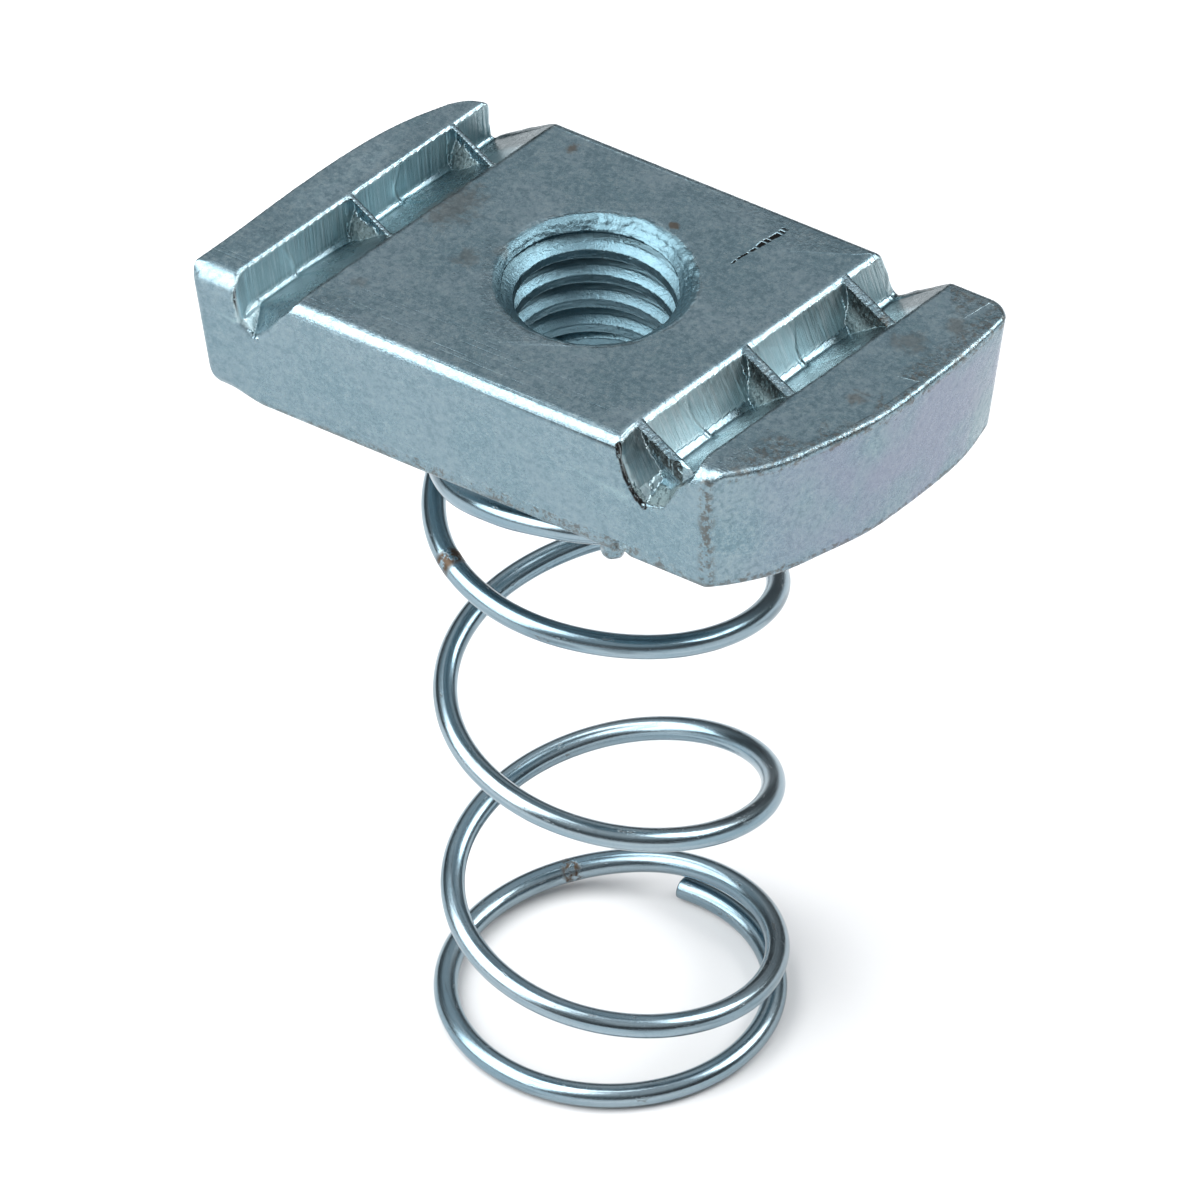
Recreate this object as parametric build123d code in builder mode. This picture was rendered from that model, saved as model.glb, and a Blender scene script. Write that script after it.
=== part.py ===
from build123d import *
from math import cos, sin, tan, radians, degrees, pi, hypot
import os

# Strut spring nut: a thick zinc-plated steel plate with a tapped centre hole and
# two serrated V grooves across its top, standing on a long left-hand wire spring
# that is clinched to the plate's front bottom edge.
# Frame: origin on the axis of the tapped hole, on the surface that the spring's
# closed bottom coil stands on. +Z up, +X towards the wider ear, +Y to the back.

# ---------------------------------------------------------------- dimensions (mm)
free_h = 38.8            # spring free height, floor to underside of the plate
plate_t = 7.3            # plate thickness
y_front = -9.85          # front long face
y_back = 9.2             # back long face  (plate 19.05 wide)
roll_r = 0.62            # rolled-over top edges of the two long sides
under_r = 0.4            # softened bottom edges of the two long sides

tap_r = 3.97             # wall of the hole before threading, 3/8-16 UNC
mouth_r = 5.0            # countersink at the top
under_mouth_r = 4.1      # small countersink at the bottom

groove_slant = 10.6      # the grooves run this many degrees off the Y axis
groove_d = 2.2           # depth of the V
left_x0, left_w, left_foot = -13.40, 3.68, 0.28     # at y = 0: left edge, width, foot of the steep wall
right_x0, right_w, right_foot = 9.06, 4.21, 1.28
tooth_top = 0.5          # flat crest of each tooth
tooth_base = 1.3         # its thickness at the bottom of the V
tooth_slant = -25.0      # crests run this many degrees off the X axis
left_teeth_y = (-1.84, 5.37)
right_teeth_y = (-9.0, -1.5, 5.6)
scoop = 1.7              # how far the pressed-out mouths reach in from the front face

wire_d = 1.24
coil_r = 8.5             # mean radius of the coil where it lies against the plate
coil_x, coil_y = 1.3, -0.7
coil_gap = 0.06          # running clearance between wire and plate
lug_deg = -57.0          # where the clinch grips the top coil, about the coil's axis
lug_w = 1.3

z_bot = free_h
z_top = free_h + plate_t

os.makedirs("parts", exist_ok=True)


# ---------------------------------------------------------------- plate outline
# The ends are bowed and lean in a little towards the bottom.
def right_end(dx, dc):
    return [(12.55 - dx * 0.3, y_front), (14.55 - dx * 0.5, -7.75), (16.25 - dx * 0.7, -4.46),
            (17.2 - dx * 0.8, -1.98), (17.75 - dx, 0.4), (18.15 - dx, 3.2),
            (18.42 - dx - dc * 0.3, 5.45), (18.55 - dx - dc, 7.35 - dc * 0.8)]


def left_end(dx):
    return [(-13.25 + dx, 7.75), (-14.2 + dx, 5.9), (-15.25 + dx, 2.97), (-15.92 + dx, 0.0),
            (-16.42 + dx, -2.9), (-16.88 + dx, -6.1), (-17.38 + dx, -9.05)]


# One V groove's section: a steep wall down to the foot, then a floor that rises
# at an easier slope to the far edge. Drawn across the groove, z from the top.
def v_points(width, foot, depth):
    c = cos(radians(groove_slant))
    return [(-0.12 * c, 1.0), (0.0, 0.0), (foot * c, -depth), ((foot + 0.28) * c, -depth),
            (width * c, 0.0), ((width + 0.12) * c, 1.0)]


groove_dir = (sin(radians(groove_slant)), cos(radians(groove_slant)), 0)
across_dir = (cos(radians(groove_slant)), -sin(radians(groove_slant)), 0)
crest_dir = (cos(radians(tooth_slant)), sin(radians(tooth_slant)), 0)
crest_normal = (-sin(radians(tooth_slant)), cos(radians(tooth_slant)), 0)


def groove_plane(x0):
    return Plane(origin=(x0, 0, z_top), x_dir=across_dir, z_dir=(-groove_dir[0], -groove_dir[1], 0))


grooves = [("left", left_x0, left_w, left_foot, left_teeth_y),
           ("right", right_x0, right_w, right_foot, right_teeth_y)]

# ---------------------------------------------------------------- nut plate
teeth = []
for side, x0, width, foot, tooth_ys in grooves:
    for ty in tooth_ys:
        tx = x0 + width / 2 + ty * tan(radians(groove_slant))
        # a wedge that stands across the groove, steep towards the front
        with BuildPart() as tooth:
            with BuildSketch(Plane(origin=(tx, ty, z_top), x_dir=crest_normal, z_dir=crest_dir)):
                with BuildLine():
                    Polyline((-tooth_top / 2, -0.02), (tooth_top / 2, -0.02),
                             (tooth_base + 0.1, -groove_d - 1.2),
                             (-tooth_top / 2 - 0.3, -groove_d - 1.2), close=True)
                make_face()
            extrude(amount=6, both=True)
            # trimmed to the groove's own section, a touch wider so that it fuses
            with BuildSketch(groove_plane(x0)):
                with BuildLine():
                    c = cos(radians(groove_slant))
                    deep = 1.0 if ty < -8 else 0.2      # the tooth at the mouth stands in the scoop
                    Polyline((-0.15 * c, 0.0), ((foot - 0.15) * c, -groove_d - deep),
                             ((foot + 0.45) * c, -groove_d - deep), ((width + 0.15) * c, 0.0), close=True)
                make_face()
            extrude(amount=16, both=True, mode=Mode.INTERSECT)
            # and to the long faces
            with BuildSketch(Plane.XY.offset(z_top - 5)):
                with Locations((0, (y_front + y_back) / 2)):
                    Rectangle(60, y_back - y_front)
            extrude(amount=6, mode=Mode.INTERSECT)
        teeth.append(tooth.part)

with BuildPart() as nut_plate:
    # body between the bottom and the top outline
    for z, dr, dc, dl in ((z_bot, 0.25, 0.5, 1.15), (z_top, 0.0, 0.0, 0.0)):
        re, le = right_end(dr, dc), left_end(dl)
        with BuildSketch(Plane.XY.offset(z)):
            with BuildLine():
                Line((-16.78 + dl, y_front), re[0])
                Spline(*re, tangents=[(0.66, 0.75), (0.03, 1.0)])
                Spline(re[-1], (18.05 - dr - dc * 1.2, 8.62 - dc * 0.3), (17.0 - dr - dc * 1.5, y_back),
                       tangents=[(0.0, 1.0), (-1.0, 0.0)])
                Line((17.0 - dr - dc * 1.5, y_back), (-10.9 + dl * 0.5, y_back))
                Spline((-10.9 + dl * 0.5, y_back), (-12.4 + dl * 0.8, 8.74), le[0],
                       tangents=[(-1.0, 0.0), (-0.42, -0.9)])
                Spline(*le, tangents=[(-0.42, -0.9), (-0.12, -1.0)])
                Spline(le[-1], (-17.3 + dl, -9.65), (-16.78 + dl, y_front),
                       tangents=[(-0.12, -1.0), (1.0, 0.0)])
            make_face()
    loft(ruled=True)

    # two V grooves right across the top
    for side, x0, width, foot, tooth_ys in grooves:
        with BuildSketch(groove_plane(x0)):
            with BuildLine():
                Polyline(*v_points(width, foot, groove_d), close=True)
            make_face()
        extrude(amount=16, both=True, mode=Mode.SUBTRACT)

    # where the grooves run out of the front face the metal is pressed down and
    # out, so each mouth is deeper than its groove
    for side, x0, width, foot, mouth in (
            ("left", left_x0, left_w, left_foot,
             [(0.6, 0.8), (0.58, -0.9), (0.95, -2.3), (1.7, -2.98), (2.9, -1.35), (4.3, 0.8)]),
            ("right", right_x0, right_w, right_foot,
             [(0.3, 0.8), (0.5, -1.2), (1.14, -2.91), (2.0, -3.48), (3.3, -2.4), (5.1, 0.6)])):
        y_out, y_in = y_front - 0.1, y_front + scoop
        xo = x0 + y_out * tan(radians(groove_slant))
        xi = x0 + y_in * tan(radians(groove_slant))
        with BuildSketch(Plane(origin=(xo, y_out, z_top), x_dir=(1, 0, 0), z_dir=(0, -1, 0))):
            with BuildLine():
                Polyline(*mouth, close=True)
            make_face()
        with BuildSketch(Plane(origin=(xi, y_in, z_top), x_dir=(1, 0, 0), z_dir=(0, -1, 0))):
            with BuildLine():
                Polyline((-0.05, 0.8), (0.12, -0.3), (foot, -groove_d + 0.05), (foot + 0.28, -groove_d + 0.05),
                         (width - 0.3, -0.1), (width, 0.8), close=True)
            make_face()
        loft(ruled=True, mode=Mode.SUBTRACT)

    for t in teeth:
        add(t)

    # rolled-over long edges: the corner outside each quarter round is taken off
    for y, s in ((y_front, -1), (y_back, 1)):
        for z, up, r in ((z_top, 1, roll_r), (z_bot, -1, under_r)):
            with BuildSketch(Plane.YZ):
                with BuildLine():
                    Line((y - s * r, z), (y - s * r, z + up * 0.5))
                    Line((y - s * r, z + up * 0.5), (y + s * 0.5, z + up * 0.5))
                    Line((y + s * 0.5, z + up * 0.5), (y + s * 0.5, z - up * r))
                    Line((y + s * 0.5, z - up * r), (y, z - up * r))
                    ThreePointArc((y, z - up * r),
                                  (y - s * r * (1 - cos(pi / 4)), z - up * r * (1 - sin(pi / 4))),
                                  (y - s * r, z))
                make_face()
            extrude(amount=25, both=True, mode=Mode.SUBTRACT)

    # tapped hole, countersunk at both ends
    with Locations((0, 0, z_top)):
        CounterSinkHole(radius=tap_r, counter_sink_radius=mouth_r, counter_sink_angle=90)
    with Locations(Location((0, 0, z_bot), (180, 0, 0))):
        CounterSinkHole(radius=tap_r, counter_sink_radius=under_mouth_r, counter_sink_angle=90, depth=1)

    # the clinch: a lip of the plate's bottom edge peened down and under the top
    # coil, with the punch's dent in the front face beside it
    lug_x = coil_x + coil_r * cos(radians(lug_deg))
    lug_y = coil_y + coil_r * sin(radians(lug_deg))
    radial = (cos(radians(lug_deg)), sin(radians(lug_deg)), 0)
    tangent = (-sin(radians(lug_deg)), cos(radians(lug_deg)), 0)
    with BuildSketch(Plane(origin=(lug_x, lug_y, z_bot), x_dir=radial, z_dir=(-tangent[0], -tangent[1], 0))):
        with BuildLine():
            r_in = wire_d / 2 + 0.05
            Polyline((r_in, 0.6), (r_in, -coil_gap - wire_d * 0.5), (r_in - 0.12, -coil_gap - wire_d - 0.02),
                     (-0.15, -coil_gap - wire_d - 0.07), (0.05, -coil_gap - wire_d - 0.5),
                     (0.75, -coil_gap - wire_d - 0.42), (1.25, -coil_gap - wire_d + 0.1),
                     (1.45, -0.3), (1.5, 0.6), close=True)
        make_face()
    extrude(amount=lug_w / 2, both=True)
    dent = Plane(origin=(lug_x + 1.6, y_front, z_bot + 0.45), x_dir=(1, 0, 0), z_dir=(0, -1, 0))
    with BuildSketch(dent.offset(0.2)):
        Polygon((-0.55, -0.1), (-0.1, 0.45), (0.45, 0.1), (0.75, -0.62), (0.3, -0.7), align=None)
    with BuildSketch(dent.offset(-0.42)):
        Polygon((-0.2, -0.12), (-0.05, 0.1), (0.15, 0.0), (0.3, -0.32), (0.1, -0.36), align=None)
    loft(ruled=True, mode=Mode.SUBTRACT)

nut_plate.part.label = "nut_plate"
print("nut_plate", round(nut_plate.part.volume, 2), nut_plate.part.bounding_box(), len(nut_plate.part.solids()))
export_step(nut_plate.part, "parts/nut_plate.step")

# ---------------------------------------------------------------- coil spring
# Left-hand wound: the wire comes down as it goes round anticlockwise seen from
# above. The free end hangs a little below the plate, the next half turn lies
# against the plate, then three open turns, which lean a few degrees and draw in
# a little, and a closed turn on the floor.
# Each entry is the angle about the coil's axis, the height of the wire's centre
# and its distance from the axis.
z_top_coil = free_h - coil_gap - wire_d / 2
z_floor_coil = wire_d / 2
wire_run = [(-146, z_top_coil - 2.05, 8.5), (-125, z_top_coil - 1.55, 8.5), (-100, z_top_coil - 0.75, 8.5),
            (-75, z_top_coil - 0.1, 8.5), (-50, z_top_coil, 8.5), (-10, z_top_coil, 8.5),
            (25, z_top_coil - 0.12, 8.5), (60, z_top_coil - 0.7, 8.52), (95, z_top_coil - 1.75, 8.6),
            (150, 34.55, 8.75), (186, 33.44, 8.77), (222, 32.42, 8.75), (258, 31.69, 8.65), (294, 31.02, 8.52),
            (330, 29.99, 8.41), (366, 28.72, 8.32), (402, 27.2, 8.26), (438, 25.53, 8.23), (474, 23.87, 8.23),
            (510, 22.41, 8.25), (546, 21.31, 8.28), (582, 20.34, 8.28), (618, 19.37, 8.25), (654, 18.27, 8.2),
            (690, 16.98, 8.15), (726, 15.49, 8.1), (762, 13.86, 8.05), (798, 12.28, 8.02), (834, 10.82, 8.0),
            (870, 9.53, 7.98), (906, 8.39, 7.99), (942, 7.43, 8.01), (978, 6.54, 8.05), (1014, 5.61, 8.1),
            (1050, 4.65, 8.16), (1086, 3.75, 8.24), (1122, 2.98, 8.33), (1150, 2.46, 8.41), (1180, 1.93, 8.47),
            (1205, 1.34, 8.5), (1230, 0.89, 8.5), (1250, 0.69, 8.48), (1266, z_floor_coil, 8.45),
            (1350, z_floor_coil, 8.28), (1440, z_floor_coil, 8.16), (1537, z_floor_coil, 8.26)]


def on_run(a, column):
    """Monotone cubic through one column of wire_run: 1 is the height, 2 the radius."""
    n = len(wire_run)
    i = max(k for k in range(n - 1) if wire_run[k][0] <= a + 1e-9)
    x0, x1 = wire_run[i][0], wire_run[i + 1][0]
    h0, h1 = wire_run[i][column], wire_run[i + 1][column]

    def slope(k):
        if k == 0 or k == n - 1:
            return 0.0
        s0 = (wire_run[k][column] - wire_run[k - 1][column]) / (wire_run[k][0] - wire_run[k - 1][0])
        s1 = (wire_run[k + 1][column] - wire_run[k][column]) / (wire_run[k + 1][0] - wire_run[k][0])
        return 0.0 if s0 * s1 <= 0 else 2 * s0 * s1 / (s0 + s1)

    t = (a - x0) / (x1 - x0)
    m0, m1 = slope(i) * (x1 - x0), slope(i + 1) * (x1 - x0)
    return ((2 * t ** 3 - 3 * t ** 2 + 1) * h0 + (t ** 3 - 2 * t ** 2 + t) * m0
            + (-2 * t ** 3 + 3 * t ** 2) * h1 + (t ** 3 - t ** 2) * m1)


a_start, a_end, steps = wire_run[0][0], wire_run[-1][0], 96
wire_pts = []
for k in range(steps + 1):
    a = a_start + (a_end - a_start) * k / steps
    r = on_run(a, 2)
    wire_pts.append((coil_x + r * cos(radians(a)), coil_y + r * sin(radians(a)), on_run(a, 1)))

with BuildPart() as coil_spring:
    with BuildLine() as wire_line:
        wire_path = Spline(*wire_pts)
    with BuildSketch(Plane(origin=wire_path @ 0, z_dir=wire_path % 0)):
        Circle(wire_d / 2)
    sweep(path=wire_path, is_frenet=True)

coil_spring.part.label = "coil_spring"
wire_length = wire_path.length
print("coil_spring", round(coil_spring.part.volume, 2), "section x length",
      round(pi * wire_d ** 2 / 4 * wire_length, 2), "length", round(wire_length, 1), coil_spring.part.bounding_box())
export_step(coil_spring.part, "parts/coil_spring.step")
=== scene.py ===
import math

import bpy
import numpy as np
from mathutils import Matrix, Vector


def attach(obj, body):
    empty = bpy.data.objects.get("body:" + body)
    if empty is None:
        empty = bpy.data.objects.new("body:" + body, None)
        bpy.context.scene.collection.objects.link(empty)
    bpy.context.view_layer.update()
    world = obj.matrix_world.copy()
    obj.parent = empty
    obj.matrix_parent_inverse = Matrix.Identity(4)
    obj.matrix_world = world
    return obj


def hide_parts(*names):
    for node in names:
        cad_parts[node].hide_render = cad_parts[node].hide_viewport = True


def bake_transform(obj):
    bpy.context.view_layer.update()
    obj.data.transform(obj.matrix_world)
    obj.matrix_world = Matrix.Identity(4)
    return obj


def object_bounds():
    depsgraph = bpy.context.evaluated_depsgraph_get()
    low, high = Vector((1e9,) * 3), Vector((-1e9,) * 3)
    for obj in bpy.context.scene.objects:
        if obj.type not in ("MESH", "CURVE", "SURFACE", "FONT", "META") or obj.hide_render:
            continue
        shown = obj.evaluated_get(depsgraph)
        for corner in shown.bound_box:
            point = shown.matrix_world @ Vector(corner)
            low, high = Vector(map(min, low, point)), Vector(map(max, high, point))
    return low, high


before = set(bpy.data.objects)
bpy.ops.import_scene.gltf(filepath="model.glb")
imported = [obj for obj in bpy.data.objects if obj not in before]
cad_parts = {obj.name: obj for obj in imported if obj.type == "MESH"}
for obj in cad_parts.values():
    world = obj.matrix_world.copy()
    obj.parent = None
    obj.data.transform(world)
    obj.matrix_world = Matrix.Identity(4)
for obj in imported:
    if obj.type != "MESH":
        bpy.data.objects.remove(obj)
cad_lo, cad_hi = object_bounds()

# Strut spring nut. All working sizes are in millimetres in the row frame and
# are turned into metres when a mesh is made.
MM = 0.001
STEP = 0.1      # grid step of the nut's surface
Z_TOP, Z_BOT, Y_F, Y_B = 46.1, 38.8, -9.85, 9.2
T = Z_TOP - Z_BOT
rng = np.random.RandomState(11)
LATTICE = rng.rand(64, 64, 64).astype(np.float32)


# ------------------------------------------------------------------ small tools
def noise(x, y, z, size):
    """Smooth noise from -1 to 1 whose lumps are about `size` mm."""
    out = []
    for q in (x, y, z):
        q = q / size + 211.37
        i = np.floor(q).astype(np.int32)
        f = q - i
        out.append((i & 63, (i + 1) & 63, f * f * (3 - 2 * f)))
    (x0, x1, fx), (y0, y1, fy), (z0, z1, fz) = out
    a = LATTICE[x0, y0, z0] * (1 - fx) + LATTICE[x1, y0, z0] * fx
    b = LATTICE[x0, y1, z0] * (1 - fx) + LATTICE[x1, y1, z0] * fx
    c = LATTICE[x0, y0, z1] * (1 - fx) + LATTICE[x1, y0, z1] * fx
    d = LATTICE[x0, y1, z1] * (1 - fx) + LATTICE[x1, y1, z1] * fx
    return (((a * (1 - fy) + b * fy) * (1 - fz) + (c * (1 - fy) + d * fy) * fz) * 2 - 1)


def rmax(a, b, r):
    """Intersection of two shapes with the edge between them rounded to r."""
    return np.minimum(np.maximum(a, b), -r) + np.sqrt(np.maximum(a + r, 0) ** 2 + np.maximum(b + r, 0) ** 2)


def rmin(a, b, r):
    """Union of two shapes with the corner between them filled to r."""
    return np.maximum(np.minimum(a, b), r) - np.sqrt(np.maximum(r - a, 0) ** 2 + np.maximum(r - b, 0) ** 2)


def ramp(x, a, b):
    t = np.clip((x - a) / (b - a), 0, 1)
    return t * t * (3 - 2 * t)


def poly_sdf(px, py, pts):
    """Signed distance to a polygon whose corners may themselves be arrays."""
    best, inside = None, None
    n = len(pts)
    for i in range(n):
        ax, ay = pts[i]
        bx, by = pts[(i + 1) % n]
        ex, ey, wx, wy = bx - ax, by - ay, px - ax, py - ay
        t = np.clip((wx * ex + wy * ey) / (ex * ex + ey * ey), 0, 1)
        q = (wx - ex * t) ** 2 + (wy - ey * t) ** 2
        best = q if best is None else np.minimum(best, q)
        cross = ((ay > py) != (by > py)) & (px < ex * (py - ay) / np.where(ey == 0, 1e-9, ey) + ax)
        inside = cross if inside is None else inside ^ cross
    d = np.sqrt(best)
    return np.where(inside, -d, d)


def spline(xs, ys, q):
    """Natural cubic spline through the points, straight beyond its ends."""
    xs, ys = np.array(xs, float), np.array(ys, float)
    n, h = len(xs), np.diff(xs)
    a, b = np.eye(n), np.zeros(n)
    for i in range(1, n - 1):
        a[i, i - 1:i + 2] = h[i - 1], 2 * (h[i - 1] + h[i]), h[i]
        b[i] = 6 * ((ys[i + 1] - ys[i]) / h[i] - (ys[i] - ys[i - 1]) / h[i - 1])
    m = np.linalg.solve(a, b)
    i = np.clip(np.searchsorted(xs, q) - 1, 0, n - 2)
    qc = np.clip(q, xs[0], xs[-1])
    s, t = (xs[i + 1] - qc), (qc - xs[i])
    v = ((m[i] * s ** 3 + m[i + 1] * t ** 3) / (6 * h[i]) + (ys[i] / h[i] - m[i] * h[i] / 6) * s
         + (ys[i + 1] / h[i] - m[i + 1] * h[i] / 6) * t)
    k0 = (ys[1] - ys[0]) / h[0] - h[0] * m[1] / 6
    k1 = (ys[-1] - ys[-2]) / h[-1] + h[-1] * m[-2] / 6
    return v + np.where(q < xs[0], (q - xs[0]) * k0, 0) + np.where(q > xs[-1], (q - xs[-1]) * k1, 0)


# ------------------------------------------------------------------ nut plate shape
# The plate's bowed ends, top and bottom outline, as x against y.
TAB_Y = np.arange(-11.5, 11.5, 0.05)


def end_tables():
    right = [(12.5, Y_F, .3), (14.5, -7.75, .5), (16.22, -4.46, .7), (17.2, -1.98, .8), (17.75, 0.4, 1),
             (18.15, 3.2, 1), (18.42, 5.45, 1), (18.55, 7.35, 1)]
    left = [(-17.38, -9.05), (-16.88, -6.1), (-16.42, -2.9), (-15.92, 0.0), (-15.25, 2.97), (-14.2, 5.9),
            (-13.25, 7.75)]
    ys = [p[1] for p in right]
    rt = spline(ys, [p[0] for p in right], TAB_Y)
    drop = [0.25 * p[2] for p in right[:-2]] + [0.40, 0.75]
    rb = spline(ys, [p[0] - d for p, d in zip(right, drop)], TAB_Y)
    lt = spline([p[1] for p in left], [p[0] for p in left], TAB_Y)
    cos_r = 1 / np.sqrt(1 + np.gradient(rt, TAB_Y) ** 2)
    cos_l = 1 / np.sqrt(1 + np.gradient(lt, TAB_Y) ** 2)
    return [q.astype(np.float32) for q in (rt, rb, lt, cos_r, cos_l)]


RT, RB, LT, COS_R, COS_L = end_tables()
G = math.radians(10.6)
GC, GS = math.cos(G), math.sin(G)
SLANT = math.radians(-25.0)
CN = (-math.sin(SLANT), math.cos(SLANT))       # across a tooth, towards the back
CD = (math.cos(SLANT), math.sin(SLANT))        # along its crest
DEPTH = 2.2
GROOVES = {
    "left": dict(x0=-13.40, w=3.68, foot=0.28, swing=-0.013, tuck=0.5, teeth=(-1.84, 5.37), crest=0.13,
                 mouth=[(0.6, 0.8), (0.58, -0.9), (0.95, -2.3), (1.7, -2.98), (2.55, -2.2), (2.95, -1.25),
                        (3.75, -0.3), (4.3, 0.8)]),
    "right": dict(x0=9.06, w=4.21, foot=1.28, swing=-0.036, tuck=0.3, teeth=(-8.92, -1.5, 5.6), crest=0.29,
                  mouth=[(0.3, 0.8), (0.5, -1.2), (1.14, -2.91), (1.89, -3.48), (2.93, -3.16), (3.6, -1.7),
                         (4.6, -0.55), (5.1, 0.8)]),
}
for g in GROOVES.values():
    g["tx"] = [g["x0"] + g["w"] / 2 + ty * math.tan(G) for ty in g["teeth"]]
    g["tv"] = [(tx - g["x0"]) * GS + ty * GC for tx, ty in zip(g["tx"], g["teeth"])]

# thread: 3/8-16 UNC, right-hand
PITCH, MINOR, MAJOR = 1.5875, 3.97, 4.77
ROOT_Z, ROOT_A = -1.0, math.radians(122.5)

LUG_A = math.radians(-57.0)
LUG = (1.3 + 8.5 * math.cos(LUG_A), -0.7 + 8.5 * math.sin(LUG_A))
WIRE = 1.24


def thread_radius(x, y, zt):
    """Radius of the tapped wall, countersunk at both ends."""
    ang = np.arctan2(y, x)
    q = zt - ROOT_Z - PITCH * (ang - ROOT_A) / (2 * math.pi)
    q = q - PITCH * np.round(q / PITCH)
    # the crest between two grooves leans: its lower edge stands in furthest
    lean = np.where(q < 0, -q - PITCH / 2, PITCH / 2 - q) / 0.24
    under = q < 0
    q = np.abs(q)
    # its upper flank is a little fuller than the hidden lower one
    cut = MAJOR - np.where(under, 1.42, 1.732) * np.maximum(q - 0.10, 0)
    wall = np.maximum(cut, MINOR + 0.01 * np.cos(ang * 3 + 1) + 0.05 * (1 - np.clip(lean, -1, 1)))
    # the thread fades out in the last half millimetre
    wall = wall - (wall - 4.0) * ramp(-zt, T - 0.35, T - 0.05)
    top = 5.0 + zt + 0.015 * np.sin(ang * 5) + 0.015 * np.sin(ang * 11 + 2)
    low = 4.0 - np.maximum(zt + T, 0)
    return np.maximum(np.maximum(wall, top), low), ang


def groove_parts(x, y, zt, g):
    u = (x - g["x0"]) * GC - y * GS
    turned_in = g["tuck"] * ramp(-y, 8.6, 9.9)     # near the front face the wall turns inward
    v = (x - g["x0"]) * GS + y * GC
    # each pocket was pressed in two bites: behind its middle the foot steps back
    stops = [-10.5] + list(g["tv"]) + [10.5]
    half, near = np.zeros_like(v), np.zeros_like(v)
    for a, b in zip(stops[:-1], stops[1:]):
        mid = (a + b) / 2 + (0.35 if a < -10 else 0.0) + (0.0 if b < 10 else 0.9)
        on = (v >= a) & (v < b)
        wob = 0.25 * np.sin(zt * 2.1 + a)
        half = np.where(on, ramp(v + wob, mid - 0.22, mid + 0.22), half)
        near = np.where(on, np.clip((v - mid) / max(b - mid, 0.1), 0, 1), near)
    # a little bump where the two bites meet
    foot = (g["foot"] + g["swing"] * (v + 1)) * GC - 0.07 * half + 0.09 * np.sin(math.pi * half)
    flat = 0.28 - 0.08 * half + 0.24 * near * half
    wide = g["w"] * GC
    length = np.sqrt(foot * foot + DEPTH * DEPTH)
    q1 = -(DEPTH * (u - turned_in) + foot * zt) / length
    st, ct = math.sin(math.radians(36)), math.cos(math.radians(36))
    q2 = -((u - foot - 0.13) * st + (zt + DEPTH - 0.02) * ct)
    run = wide - foot - flat
    length = np.sqrt(run * run + DEPTH * DEPTH)
    q3 = -(-DEPTH * (u - wide) + run * zt) / length
    return u, v, q1, q2, q3, half


def torn(x, y, zt):
    """Coarse tearing of a broken steel face."""
    return (0.55 * noise(x, y, zt, 0.42) + 0.3 * noise(x, y, zt * 0.35, 0.2) + 0.2 * noise(x, y, zt, 0.12))


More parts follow.
